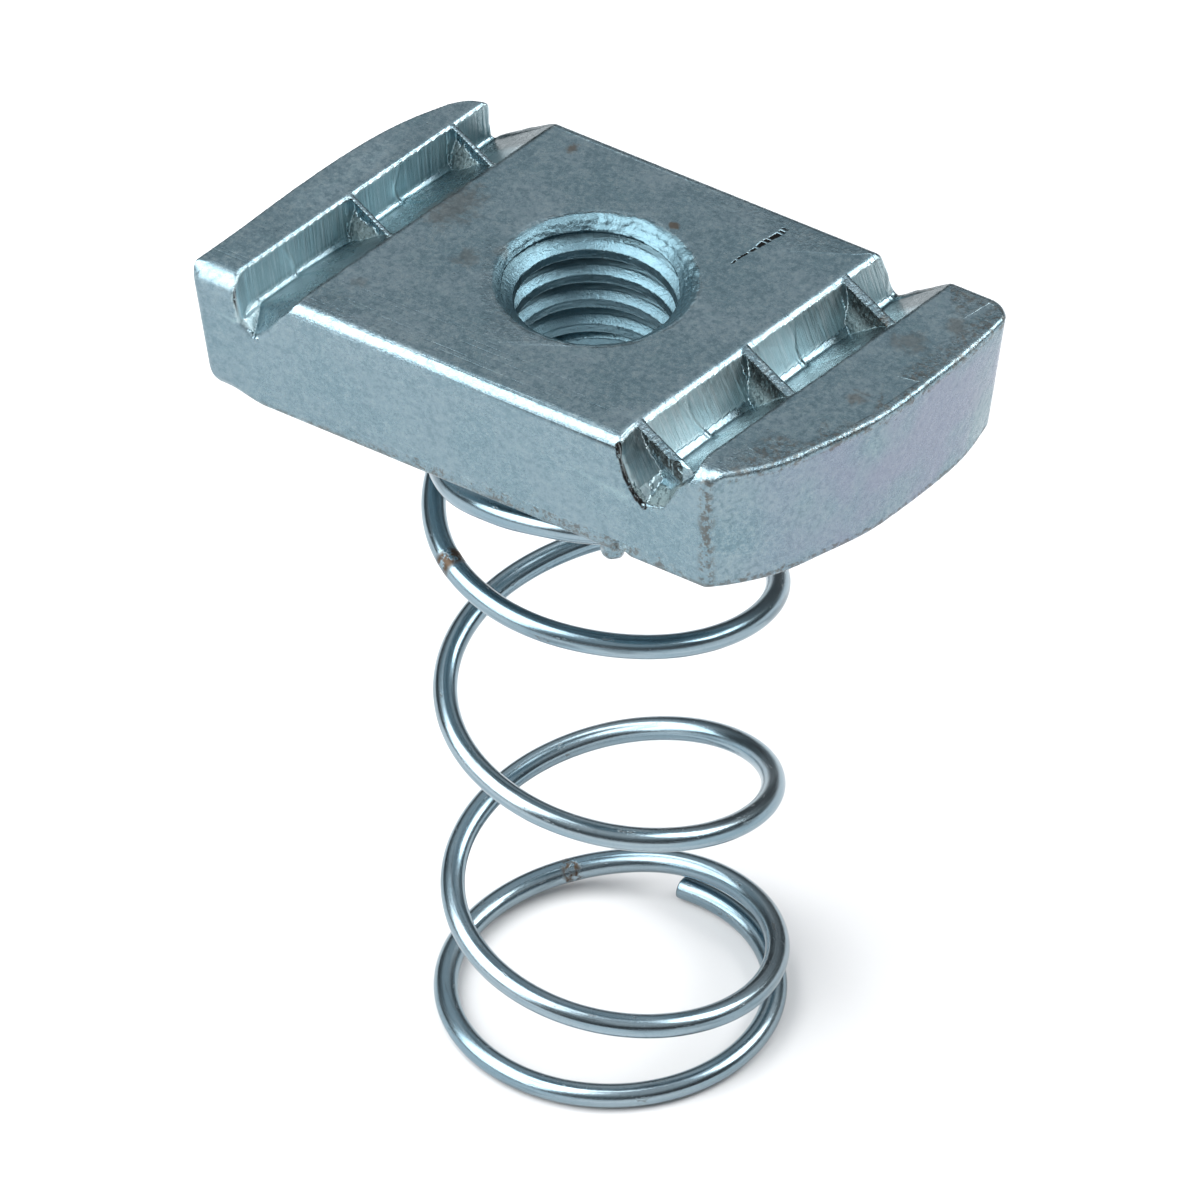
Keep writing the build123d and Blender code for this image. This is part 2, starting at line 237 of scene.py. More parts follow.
def nut(p):
    """Distance to the nut's surface, below zero inside. p is (n, 3) in mm."""
    x, y, z = p[:, 0], p[:, 1], p[:, 2]
    zt = z - Z_TOP
    k = np.clip(-zt / T, 0, 1)
    rt, rb = np.interp(y, TAB_Y, RT), np.interp(y, TAB_Y, RB)
    lt = np.interp(y, TAB_Y, LT)
    d_r = (x - (rt * (1 - k) + rb * k)) * np.interp(y, TAB_Y, COS_R)
    d_l = ((lt + 1.15 * k) - x) * np.interp(y, TAB_Y, COS_L) * 0.99
    # faint rolling lines low on the two long faces
    line = 0.011 * np.exp(-((zt + 5.72 + 0.02 * np.sin(x * 0.9)) / 0.11) ** 2)
    line += 0.008 * np.exp(-((zt + 6.25) / 0.12) ** 2) + 0.005 * np.exp(-((zt + 5.25) / 0.10) ** 2)
    lean = 0.03 * np.maximum(-5.7 - zt, 0)
    d_f = Y_F - y + line + lean
    d_b = y - Y_B + line + lean
    rough = noise(x, y, zt, 0.3)
    front = rmax(rmax(d_f, d_r + 0.02 * np.maximum(rough, 0), 0.22), d_l, 0.6)
    back = rmax(rmax(d_b, d_r, 1.5), d_l, 1.9)
    plan = np.maximum(front, back)
    long_side = ramp(np.maximum(d_f, d_b) - np.maximum(d_r, d_l), -0.7, 0.1)
    ragged = np.maximum(noise(x, y, 0 * zt, 0.55), 0) * 0.04 + 0.02 * noise(x, y, zt, 0.16)
    r_top = 0.13 + 0.17 * ramp(x, 9.0, 12.0) + ragged * 0.6
    soft = 0.74 + 0.36 * ramp(-x, 13.2, 14.6) + 0.2 * ramp(x, 10.0, 11.5)
    soft = np.where(y > 0, 0.4, soft)
    r_top = r_top + (soft - r_top) * long_side
    left_low = ramp(-x, 13.0, 15.5) * ramp(-y, 2.0, 9.0)
    r_low = 0.32 + 0.1 * long_side + 0.75 * left_low
    body = rmax(rmax(plan, zt, r_top), -zt - T, r_low)
    base = body

    # V grooves, mouths and teeth
    for name, g in GROOVES.items():
        near = np.abs((x - g["x0"] - g["w"] / 2) * GC - y * GS) < g["w"] + 1.5
        if not near.any():
            continue
        xs, ys, zs = x[near], y[near], zt[near]
        u, v, q1, q2, q3, half = groove_parts(xs, ys, zs, g)
        shear = 0.016 * noise(v * 1.0, u * 0.05, zs * 0.05, 0.13) + 0.008 * noise(v, zs * 0.1, 0 * v, 0.28)
        q3 = q3 + 0.035 * half * noise(v, u, 0 * v, 0.55)
        wall = q1 + shear
        cavity = rmax(rmax(wall, q2, 0.05), q3 + 0.006 * noise(v, u, zs, 0.3), 0.07)
        # pressed-out mouth at the front face
        w = np.clip((ys - (Y_F - 0.1)) / 1.8, 0, 1)
        y_in, y_out = Y_F + 1.7, Y_F - 0.1
        xo = g["x0"] + y_out * math.tan(G)
        xi = g["x0"] + y_in * math.tan(G)
        fo = g["foot"] - 6.0 * g["swing"]
        inner = [(-0.05, 0.8), (0.12, -0.3), (fo, -DEPTH + 0.05), (fo + 0.28, -DEPTH - 0.1), (fo + 0.9, -1.7),
                 (g["w"] - 0.8, -0.6), (g["w"] - 0.3, -0.2), (g["w"], 0.8)]
        corners = [((xo + a[0]) * (1 - w) + (xi + b[0]) * w, a[1] * (1 - w) + b[1] * w)
                   for a, b in zip(g["mouth"], inner)]
        scoop = poly_sdf(xs, zs, corners) * 0.93
        scoop = rmax(scoop, ys - y_in, 0.15) + 0.02 * noise(xs, ys, zs, 0.35)
        cavity = rmin(cavity, scoop, 0.2)
        # the steep wall's top edge is drawn over, the far edge is crisp
        edge = 0.09 + 0.17 * ramp(g["w"] * 0.45 - u, 0, 0.8) + 0.04 * noise(xs, ys, 0 * zs, 0.5)
        edge = edge + 0.16 * ramp(-ys, 8.9, 9.7) * ramp(-zs, 0.5, 1.6)
        cut = rmax(body[near], -cavity, edge)
        # teeth
        for tx, ty in zip(g["tx"], g["teeth"]):
            n = (xs - tx) * CN[0] + (ys - ty) * CN[1]
            a = (xs - tx) * CD[0] + (ys - ty) * CD[1]
            c = g["crest"]
            rip = torn(xs * 1.3, ys * 1.3, zs)
            # torn back just under the crest, with a toe that spreads towards the floor
            back_in = 0.26 * ramp(-zs, 0.06, 0.34) * (1 - 0.75 * ramp(-zs, 0.7, 1.7))
            toe = 0.36 * ramp(-zs, 0.9, 2.3)
            if ty < -8:
                back_in, toe = 0.34 * ramp(-zs, 0.06, 0.4), -0.25 * ramp(-zs, 1.0, 2.2)
            face = -n - c + back_in - toe + 0.09 * rip * ramp(-zs, 0.05, 0.4)
            face = (face + 0.07 * np.abs(noise(a, zs * 0.3, n * 0, 0.28)) * ramp(-zs, 0.1, 0.5)) * 0.95
            heel = (n - c - 0.34 * (-zs)) * 0.94 + 0.012 * noise(xs, ys, zs, 0.25)
            crest = (zs + 0.03 - 0.22 * (n - c)) * 0.976 + 0.02 * noise(a, n * 0.2, 0 * a, 0.17)
            tooth = rmax(rmax(face, crest, 0.07), heel, 0.08)
            tooth = np.maximum(tooth, base[near])
            if ty < -8:
                # the first tooth stands back a little from the front face, inside the mouth
                tooth = np.maximum(tooth, -np.maximum(scoop, ys - (Y_F + 0.34 + 0.06 * rip)))
            tooth = np.maximum(tooth, -(u + 0.3))
            tooth = np.maximum(tooth, u - g["w"] * GC - 0.3)
            cut = rmin(cut, tooth, 0.04)
        body = body.copy()
        body[near] = cut

    # crumbs of metal pushed out under the two mouths
    for cx, cz, r in CRUMBS:
        near = (y < Y_F + 0.6) & (np.abs(x - cx) < 0.6) & (np.abs(zt - cz) < 0.6)
        if near.any():
            q = np.sqrt((x[near] - cx) ** 2 + ((y[near] - Y_F - 0.08) * 1.3) ** 2 + (zt[near] - cz) ** 2) - r
            body[near] = rmin(body[near], q, 0.05)

    # tapped hole
    r = np.sqrt(x * x + y * y)
    near = r < 6.2
    if near.any():
        xs, ys, zs, rs = x[near], y[near], zt[near], r[near]
        tr, ang = thread_radius(xs, ys, zs)
        rim = ramp(zs, -1.5, -0.2)
        worse = 0.35 + 0.65 * ramp(np.cos(ang - 1.5), -0.3, 0.7)
        chew = 0.028 * noise(xs, ys, zs * 2.0, 0.33) * rim * worse + 0.006 * noise(ang * 8, zs * 14, 0 * zs, 1.0)
        chew = chew + 0.022 * noise(ang * 1.6, rs * 5.5, zs * 5.5, 1.0) * rim
        hole = (tr - rs) * 0.62 + chew
        lip = 0.05 + 0.13 * ramp(zs, -0.7, -0.2) * (1 + 0.5 * noise(xs, ys, 0 * zs, 0.6))
        # the tap left a thin burr standing below the hole
        burr = np.maximum(np.abs(rs - 4.15) - 0.34, -zs - T - 0.62 - 0.05 * noise(xs, ys, 0 * zs, 0.8))
        burr = rmax(burr, zs + T - 0.3, 0.02) * 0.9
        body[near] = rmin(body[near], burr, 0.12)
        body[near] = rmax(body[near], hole, lip)

    # clinch: a lip of the bottom edge peened under the wire, and the punch's dent
    near = (np.abs(x - LUG[0]) < 3.4) & (y < LUG[1] + 2.6) & (zt < -T + 2.0)
    if near.any():
        xs, ys, zs = x[near], y[near], zt[near]
        rx, ry = math.cos(LUG_A), math.sin(LUG_A)
        a = (xs - LUG[0]) * rx + (ys - LUG[1]) * ry
        t = -(xs - LUG[0]) * ry + (ys - LUG[1]) * rx
        h = zs + T
        hw, gap = WIRE / 2, 0.06
        lip = poly_sdf(a, h, [(hw + .05, .6), (hw + .05, -gap - hw), (hw - .07, -gap - WIRE - .02),
                              (-.15, -gap - WIRE - .07), (.05, -gap - WIRE - .46), (.75, -gap - WIRE - .40),
                              (1.25, -gap - WIRE + .1), (1.42, -.3), (1.5, .6)])
        lip = rmax(lip, np.abs(t) - 0.62 + 0.12 * np.maximum(-h, 0), 0.3)
        knob = np.sqrt(((a - 0.55) / 0.95) ** 2 + (t / 1.05) ** 2 + (h + 1.15) ** 2) - 0.60
        lip = rmin(lip, knob, 0.15)
        lip = np.maximum(lip + 0.06 * torn(xs, ys, zs), -9.88 - ys)
        wire_keep = np.sqrt(a ** 2 + (h + gap + hw) ** 2) - hw - 0.03
        lip = np.maximum(lip, -wire_keep)
        dent_x, dent_z = xs - (LUG[0] + 1.62), h - 0.38
        dent = np.sqrt((dent_x / 0.62) ** 2 + (dent_z / 0.5) ** 2 + ((ys - Y_F) / 0.5) ** 2) - 1
        dent = dent * 0.4 + 0.05 * noise(xs, ys, zs, 0.25)
        part = rmin(body[near], lip, 0.1)
        body[near] = rmax(part, -dent, 0.05)
    return body


CRUMBS = [(-13.45, -3.0, .17), (-13.85, -2.7, .13), (-13.1, -3.3, .12), (-12.8, -2.95, .12), (-13.55, -3.4, .10),
          (9.0, -3.50, .16), (8.55, -3.2, .14), (9.45, -3.6, .13), (9.85, -3.5, .12), (8.25, -2.75, .10), (10.2, -3.3, .09)]


def evaluate(p, chunk=400000):
    out = np.empty(len(p), np.float32)
    for i in range(0, len(p), chunk):
        out[i:i + chunk] = nut(p[i:i + chunk].astype(np.float32))
    return out


def gradient(p, e=0.02):
    g = np.empty_like(p)
    for i in range(3):
        d = np.zeros(3, np.float32)
        d[i] = e
        g[:, i] = evaluate(p + d) - evaluate(p - d)
    return g / (2 * e)


def surface(step):
    """Surface nets over the nut's distance field: (vertices, quads)."""
    lo = np.array([-17.9, -10.35, 36.6])
    hi = np.array([18.95, 9.65, 46.6])
    b = 8                                             # cells along a block
    nb = np.ceil((hi - lo) / (step * b)).astype(int)
    n = nb * b + 1
    # coarse pass: keep the blocks that may hold some surface
    c = [lo[i] + (np.arange(nb[i]) + 0.5) * step * b for i in range(3)]
    cc = np.stack(np.meshgrid(*c, indexing="ij"), -1).reshape(-1, 3)
    keep = np.abs(evaluate(cc)) < step * b * 0.87 + 0.75
    field = np.full(tuple(n), 1.0, np.float32)
    sign = evaluate(cc) < 0
    kept = np.argwhere(keep.reshape(tuple(nb)))
    inside = np.argwhere((~keep & sign).reshape(tuple(nb)))
    for bi in inside:
        s = tuple(slice(q * b, q * b + b + 1) for q in bi)
        field[s] = -1.0
    off = np.stack(np.meshgrid(*[np.arange(b + 1)] * 3, indexing="ij"), -1).reshape(-1, 3)
    idx = (kept[:, None, :] * b + off[None]).reshape(-1, 3)
    flat = np.ravel_multi_index(idx.T, tuple(n))
    flat = np.unique(flat)
    ijk = np.stack(np.unravel_index(flat, tuple(n)), -1)
    field.reshape(-1)[flat] = evaluate(lo + ijk * step)
    neg = field < 0
    # cells with a change of sign
    corner = np.zeros(tuple(n - 1), np.int8)
    for dx in (0, 1):
        for dy in (0, 1):
            for dz in (0, 1):
                corner += neg[dx:n[0] - 1 + dx, dy:n[1] - 1 + dy, dz:n[2] - 1 + dz]
    cells = np.argwhere((corner > 0) & (corner < 8))
    total = np.zeros((len(cells), 3))
    count = np.zeros(len(cells))
    for axis in range(3):
        o = [i for i in range(3) if i != axis]
        for a in (0, 1):
            for c2 in (0, 1):
                s = cells.copy()
                s[:, o[0]] += a
                s[:, o[1]] += c2
                e = s.copy()
                e[:, axis] += 1
                fa = field[s[:, 0], s[:, 1], s[:, 2]]
                fb = field[e[:, 0], e[:, 1], e[:, 2]]
                hit = (fa < 0) != (fb < 0)
                t = fa[hit] / (fa[hit] - fb[hit])
                q = s[hit].astype(float)
                q[:, axis] += t
                total[hit] += q
                count[hit] += 1
    verts = lo + total / count[:, None] * step
    number = np.full(tuple(n - 1), -1, np.int32)
    number[cells[:, 0], cells[:, 1], cells[:, 2]] = np.arange(len(cells))
    quads = []
    for axis in range(3):
        o = [(axis + 1) % 3, (axis + 2) % 3]
        sa = [slice(None)] * 3
        sb = [slice(None)] * 3
        sa[axis], sb[axis] = slice(0, -1), slice(1, None)
        na, nb2 = neg[tuple(sa)], neg[tuple(sb)]
        e = np.argwhere(na != nb2)
        e = e[(e[:, o[0]] > 0) & (e[:, o[1]] > 0) & (e[:, o[0]] < n[o[0]] - 1) & (e[:, o[1]] < n[o[1]] - 1)]
        out = na[e[:, 0], e[:, 1], e[:, 2]]
        ring = []
        for da, db in ((1, 1), (0, 1), (0, 0), (1, 0)):
            q = e.copy()
            q[:, o[0]] -= da
            q[:, o[1]] -= db
            ring.append(number[q[:, 0], q[:, 1], q[:, 2]])
        ring = np.stack(ring, -1)
        ring[~out] = ring[~out][:, ::-1]
        quads.append(ring)
    return verts.astype(np.float32), np.concatenate(quads)


def make_mesh(name, verts, faces):
    """A mesh from arrays: verts in mm, faces all of one size."""
    me = bpy.data.meshes.new(name)
    n = faces.shape[1]
    me.vertices.add(len(verts))
    me.vertices.foreach_set("co", (np.asarray(verts, np.float64) * MM).astype(np.float32).ravel())
    me.loops.add(len(faces) * n)
    me.loops.foreach_set("vertex_index", faces.astype(np.int32).ravel())
    me.polygons.add(len(faces))
    me.polygons.foreach_set("loop_start", np.arange(0, len(faces) * n, n, dtype=np.int32))
    me.update(calc_edges=True)
    me.validate()
    ob = bpy.data.objects.new(name, me)
    bpy.context.scene.collection.objects.link(ob)
    return ob


def attribute(me, name, values):
    a = me.attributes.new(name, "FLOAT", "POINT")
    a.data.foreach_set("value", np.asarray(values, np.float32))


def build_nut():
    v, q = surface(STEP)
    for _ in range(2):
        f, g = evaluate(v), gradient(v)
        g2 = np.maximum((g ** 2).sum(1), 0.05)
        move = -f[:, None] * g / g2[:, None]
        size = np.linalg.norm(move, axis=1)
        v = v + move * np.minimum(1, 0.35 * STEP / np.maximum(size, 1e-9))[:, None]
    v = np.clip(v, np.array(cad_lo) / MM, np.array(cad_hi) / MM)
    ob = make_mesh("nut_body", v, q)
    target = 190000
    tris = len(q) * 2
    if tris > target:
        m = ob.modifiers.new("thin", "DECIMATE")
        m.ratio = target / tris
        dg = bpy.context.evaluated_depsgraph_get()
        me = bpy.data.meshes.new_from_object(ob.evaluated_get(dg))
        old = ob.data
        ob.modifiers.clear()
        ob.data = me
        bpy.data.meshes.remove(old)
    me = ob.data
    me.name = "nut_body"
    co = np.empty(len(me.vertices) * 3, np.float32)
    me.vertices.foreach_get("co", co)
    p = co.reshape(-1, 3) / MM
    g = gradient(p, 0.03)
    nrm = g / np.maximum(np.linalg.norm(g, axis=1), 1e-6)[:, None]
    # what each place on the surface is, for its finish
    x, y, zt = p[:, 0], p[:, 1], p[:, 2] - Z_TOP
    r = np.sqrt(x * x + y * y)
    tr, _ = thread_radius(x, y, zt)
    hole = (r < tr + 0.12) & (r < 5.2)
    attribute(me, "thread", hole.astype(np.float32))
    rim = np.exp(-((r - 4.75) / 0.42) ** 2) * (zt > -1.3) * (np.abs(nrm[:, 2]) < 0.97)
    attribute(me, "rim", rim)
    wall, tornface, floor, strip = (np.zeros(len(p)) for _ in range(4))
    for g_ in GROOVES.values():
        u, vv, q1, q2, q3, half = groove_parts(x, y, zt, g_)
        inside = (zt < -0.03) & (zt > -3.5)
        wall = np.maximum(wall, (inside & (np.abs(q1) < 0.12) & (u < g_["w"] * 0.6)
                                 & (np.abs(nrm[:, 0]) > 0.7)).astype(float))
        floor = np.maximum(floor, (inside & (np.abs(q3) < 0.1) & (u > 0)).astype(float))
        mouth = (y < Y_F + 1.7) & (y > Y_F + 0.02) & (zt < -0.1) & (zt > -3.6) & (nrm[:, 0] > 0.45) & (np.abs(u) < 2.2)
        wall = np.maximum(wall, mouth * 0.8)
        for tx, ty in zip(g_["tx"], g_["teeth"]):
            n = (x - tx) * CN[0] + (y - ty) * CN[1]
            tf = ((n < 0.1) & (n > -1.2) & (u > -0.1) & (u < g_["w"]) & (zt < -0.1) & (zt > -3.3)
                  & (y > Y_F + 0.12) & (nrm[:, 0] * CN[0] + nrm[:, 1] * CN[1] < -0.35))
            tornface = np.maximum(tornface, tf.astype(float))
            low = 0.6 if g_["x0"] < 0 else 1.3
            strip = np.maximum(strip, tf * np.clip(1.3 - (-zt) / low, 0, 1))
    attribute(me, "wall", wall)
    attribute(me, "torn", tornface)
    attribute(me, "groove", floor)
    attribute(me, "strip", strip)
    # a thin line down the left edge of each groove's mouth on the front face, painted black in the finish as shadow
    line = np.zeros(len(p))
    for pts in (((7.45, -9.7, -.3), (7.62, -9.85, -1.0), (7.95, -9.85, -2.1), (8.4, -9.85, -2.95), (9.0, -9.85, -3.45)),
                ((-14.7, -9.7, -.45), (-14.66, -9.85, -1.2), (-14.42, -9.85, -2.0))):
        for a_, b_ in zip(pts[:-1], pts[1:]):
            a_, b_ = np.array(a_), np.array(b_)
            q = np.stack([x, y, zt], -1) - a_
            t = np.clip(q @ (b_ - a_) / ((b_ - a_) @ (b_ - a_)), 0, 1)
            d = np.linalg.norm(q - t[:, None] * (b_ - a_), axis=1)
            line = np.maximum(line, np.clip(1.6 - d / 0.15, 0, 1))
    attribute(me, "line", line)
    depth = evaluate(p - nrm * 0.5) + 0.5
    attribute(me, "edge", np.clip(depth / 0.11, 0, 1))
    # how sheltered each place is, used to paint shade into the deep corners
    shelter = 0.5 - evaluate(p + nrm * 0.5)
    attribute(me, "crevice_shade", np.clip(shelter / 0.3, 0, 1))
    me.polygons.foreach_set("use_smooth", np.ones(len(me.polygons), bool))
    me.normals_split_custom_set_from_vertices(nrm.tolist())
    return ob


# ------------------------------------------------------------------ coil spring shape
def build_spring():
    gap, free_h = 0.06, Z_BOT
    zt, zf = free_h - gap - WIRE / 2, WIRE / 2
    run = [(-146, zt - 2.05, 8.5), (-125, zt - 1.55, 8.5), (-100, zt - 0.55, 8.5), (-75, zt - 0.03, 8.5),
           (-50, zt, 8.5), (-10, zt, 8.5), (25, zt - 0.12, 8.5), (60, zt - 0.7, 8.52), (95, zt - 1.75, 8.6),
           (150, 34.55, 8.75), (186, 33.44, 8.77), (222, 32.42, 8.75), (258, 31.69, 8.65), (294, 31.02, 8.52),
           (330, 29.99, 8.41), (366, 28.72, 8.32), (402, 27.2, 8.26), (438, 25.53, 8.23), (474, 23.87, 8.23),
           (510, 22.41, 8.25), (546, 21.31, 8.28), (582, 20.34, 8.28), (618, 19.37, 8.25), (654, 18.27, 8.2),
           (690, 16.98, 8.15), (726, 15.49, 8.1), (762, 13.86, 8.05), (798, 12.28, 8.02), (834, 10.82, 8.0),
           (870, 9.53, 7.98), (906, 8.39, 7.99), (942, 7.43, 8.01), (978, 6.54, 8.05), (1014, 5.61, 8.1),
           (1050, 4.65, 8.16), (1086, 3.75, 8.24), (1122, 2.98, 8.33), (1150, 2.46, 8.41), (1180, 1.93, 8.47),
           (1205, 1.34, 8.5), (1230, 0.89, 8.5), (1250, 0.69, 8.48), (1266, zf, 8.45), (1350, zf, 8.28),
           (1440, zf, 8.16), (1537, zf, 8.26)]
    a = np.array([q[0] for q in run], float)
    s = np.linspace(a[0], a[-1], 1150)

    def through(col):
        h = np.array([q[col] for q in run], float)
        d = np.diff(h) / np.diff(a)
        m = np.zeros(len(a))
        pr = d[:-1] * d[1:]
        m[1:-1] = np.where(pr > 0, 2 * pr / np.where(d[:-1] + d[1:] == 0, 1, d[:-1] + d[1:]), 0)
        i = np.clip(np.searchsorted(a, s, side="right") - 1, 0, len(a) - 2)
        w = a[i + 1] - a[i]
        t = (s - a[i]) / w
        return ((2 * t ** 3 - 3 * t ** 2 + 1) * h[i] + (t ** 3 - 2 * t ** 2 + t) * m[i] * w
                + (-2 * t ** 3 + 3 * t ** 2) * h[i + 1] + (t ** 3 - t ** 2) * m[i + 1] * w)

    hz, hr = through(1), through(2)
    ang = np.radians(s)
    c = np.stack([1.3 + hr * np.cos(ang), -0.7 + hr * np.sin(ang), hz], -1)
    for _ in range(3):                                # the steps between entries even out
        c[1:-1] = c[1:-1] * 0.5 + (c[:-2] + c[2:]) * 0.25
    tan = np.gradient(c, axis=0)
    tan /= np.linalg.norm(tan, axis=1)[:, None]
    out = np.stack([np.cos(ang), np.sin(ang), 0 * ang], -1)
    out -= tan * (out * tan).sum(1)[:, None]
    out /= np.linalg.norm(out, axis=1)[:, None]
    up = np.cross(out, tan)
    up *= np.sign(up[:, 2])[:, None]
    along = np.concatenate([[0], np.cumsum(np.linalg.norm(np.diff(c, axis=0), axis=1))])
    k = 28
    psi = np.arange(k) * 2 * math.pi / k
    # drawn wire, with faint flats, and cropped ends with a small burr
    rad = WIRE / 2 * (1 - 0.004 * (1 + noise(along * 0 + 3.0, along, along * 0, 2.5)))
    rings, keys, cent = [], [], []

    def ring(i, scale, push):
        r = rad[i] * scale
        rr = r * (1 + 0.004 * np.cos(5 * psi + along[i] * 0.11))
        p = c[i] + tan[i] * push + np.outer(np.cos(psi) * rr, out[i]) + np.outer(np.sin(psi) * rr, up[i])
        rings.append(p)
        keys.append(np.stack([np.full(k, along[i] + push), np.cos(psi) * r, np.sin(psi) * r], -1))
        cent.append(c[i][2])

    last = len(s) - 1
    for scale, push in ((0.5, 0.02), (0.86, 0.0), (0.965, 0.03), (1.0, 0.09)):
        ring(0, scale, push)
    for i in range(1, last):
        ring(i, 1.0, 0.0)
    for scale, push in ((1.0, -0.09), (0.965, -0.03), (0.86, 0.0), (0.5, -0.02)):
        ring(last, scale, push)
    rings, keys, cent = np.array(rings), np.array(keys), np.array(cent)
    # the shears left each end a little oblique
    for sel, i, sgn in ((slice(0, 3), 0, 1), (slice(-3, None), last, -1)):
        rel = rings[sel] - c[i]
        rings[sel] += tan[i] * (0.16 * (rel @ out[i]) * sgn)[..., None]
    nr = len(rings)
    v = rings.reshape(-1, 3)
    i, j = np.meshgrid(np.arange(nr - 1), np.arange(k), indexing="ij")
    i, j = i.ravel(), j.ravel()
    jn = (j + 1) % k
    q = np.stack([i * k + j, i * k + jn, (i + 1) * k + jn, (i + 1) * k + j], -1)
    # caps: one fan at each end
    e0, e1 = len(v), len(v) + 1
    v = np.vstack([v, rings[0].mean(0), rings[-1].mean(0)])
    jj = np.arange(k)
    cap0 = np.stack([np.full(k, e0), (jj + 1) % k, jj], -1)
    cap1 = np.stack([np.full(k, e1), (nr - 1) * k + jj, (nr - 1) * k + (jj + 1) % k], -1)
    tri = np.vstack([q[:, [0, 1, 2]], q[:, [0, 2, 3]], cap0, cap1])
    # outward faces: compare one with the line from the wire's centre
    n0 = np.cross(v[tri[0, 1]] - v[tri[0, 0]], v[tri[0, 2]] - v[tri[0, 0]])
    mid = len(q) // 2
    n0 = np.cross(v[q[mid, 1]] - v[q[mid, 0]], v[q[mid, 2]] - v[q[mid, 0]])
    centre = rings[mid // k].mean(0)
    if n0 @ (v[q[mid, 0]] - centre) < 0:
        tri = tri[:, ::-1]
    v = np.clip(v, np.array(cad_lo) / MM, np.array(cad_hi) / MM)
    ob = make_mesh("spring_wire", v, tri)
    me = ob.data
    me.polygons.foreach_set("use_smooth", np.ones(len(me.polygons), bool))
    key = np.vstack([keys.reshape(-1, 3), [along[0], 0, 0], [along[-1], 0, 0]])
    at = me.attributes.new("wire", "FLOAT_VECTOR", "POINT")
    at.data.foreach_set("vector", key.astype(np.float32).ravel())
    turn = np.concatenate([[s[0]] * 4, s[1:last], [s[-1]] * 4])
    attribute(me, "turn", np.concatenate([np.repeat(turn, k), [s[0], s[-1]]]))
    cz = np.concatenate([np.repeat(cent, k), [c[0][2], c[-1][2]]])
    return ob, cz, (along[-1])


# ------------------------------------------------------------------ materials
class Nodes:
    """A short way to write node trees."""

    def __init__(self, name):
        self.mat = bpy.data.materials.new(name)
        self.mat.use_nodes = True
        self.tree = self.mat.node_tree
        self.tree.nodes.clear()

    def node(self, kind, _set=(), **inputs):
        n = self.tree.nodes.new(kind)
        for a, b in dict(_set).items():
            setattr(n, a, b)
        for a, b in inputs.items():
            key = int(a[1:]) if a[0] == "i" and a[1:].isdigit() else a.replace("_", " ")
            self.put(n.inputs[key], b)
        return n

    def put(self, socket, value):
        if isinstance(value, bpy.types.NodeSocket):
            self.tree.links.new(value, socket)
        else:
            socket.default_value = value

    def math(self, op, a, b=0.0, c=0.0, clamp=False):
        n = self.tree.nodes.new("ShaderNodeMath")
        n.operation, n.use_clamp = op, clamp
        for s, v in zip(n.inputs, (a, b, c)):
            self.put(s, v)
        return n.outputs[0]

    def vec(self, op, a, b=(0, 0, 0)):
        n = self.tree.nodes.new("ShaderNodeVectorMath")
        n.operation = op
        self.put(n.inputs[0], a)
        self.put(n.inputs[1], b)
        return n.outputs[1] if op in ("LENGTH", "DISTANCE", "DOT_PRODUCT") else n.outputs[0]

    def noise(self, vector, scale, detail=3.0, rough=0.6, distort=0.0):
        n = self.tree.nodes.new("ShaderNodeTexNoise")
        self.put(n.inputs["Vector"], vector)
        n.inputs["Scale"].default_value = scale
        n.inputs["Detail"].default_value = detail
        n.inputs["Roughness"].default_value = rough
        n.inputs["Distortion"].default_value = distort
        return n.outputs["Fac"]

    def range(self, value, a, b, c=0.0, d=1.0, smooth=True):
        n = self.tree.nodes.new("ShaderNodeMapRange")
        n.interpolation_type = "SMOOTHSTEP" if smooth else "LINEAR"
        n.clamp = True
        for s, v in zip(n.inputs, (value, a, b, c, d)):
            self.put(s, v)
        return n.outputs[0]

    def mix(self, fac, a, b):
        n = self.tree.nodes.new("ShaderNodeMix")
        n.data_type = "RGBA"
        self.put(n.inputs[0], fac)
        self.put(n.inputs[6], a)
        self.put(n.inputs[7], b)
        return n.outputs[2]

    def attr(self, name, out="Fac"):
        n = self.tree.nodes.new("ShaderNodeAttribute")
        n.attribute_name = name
        return n.outputs[out]


def rgb(r, g, b):
    return (r, g, b, 1.0)


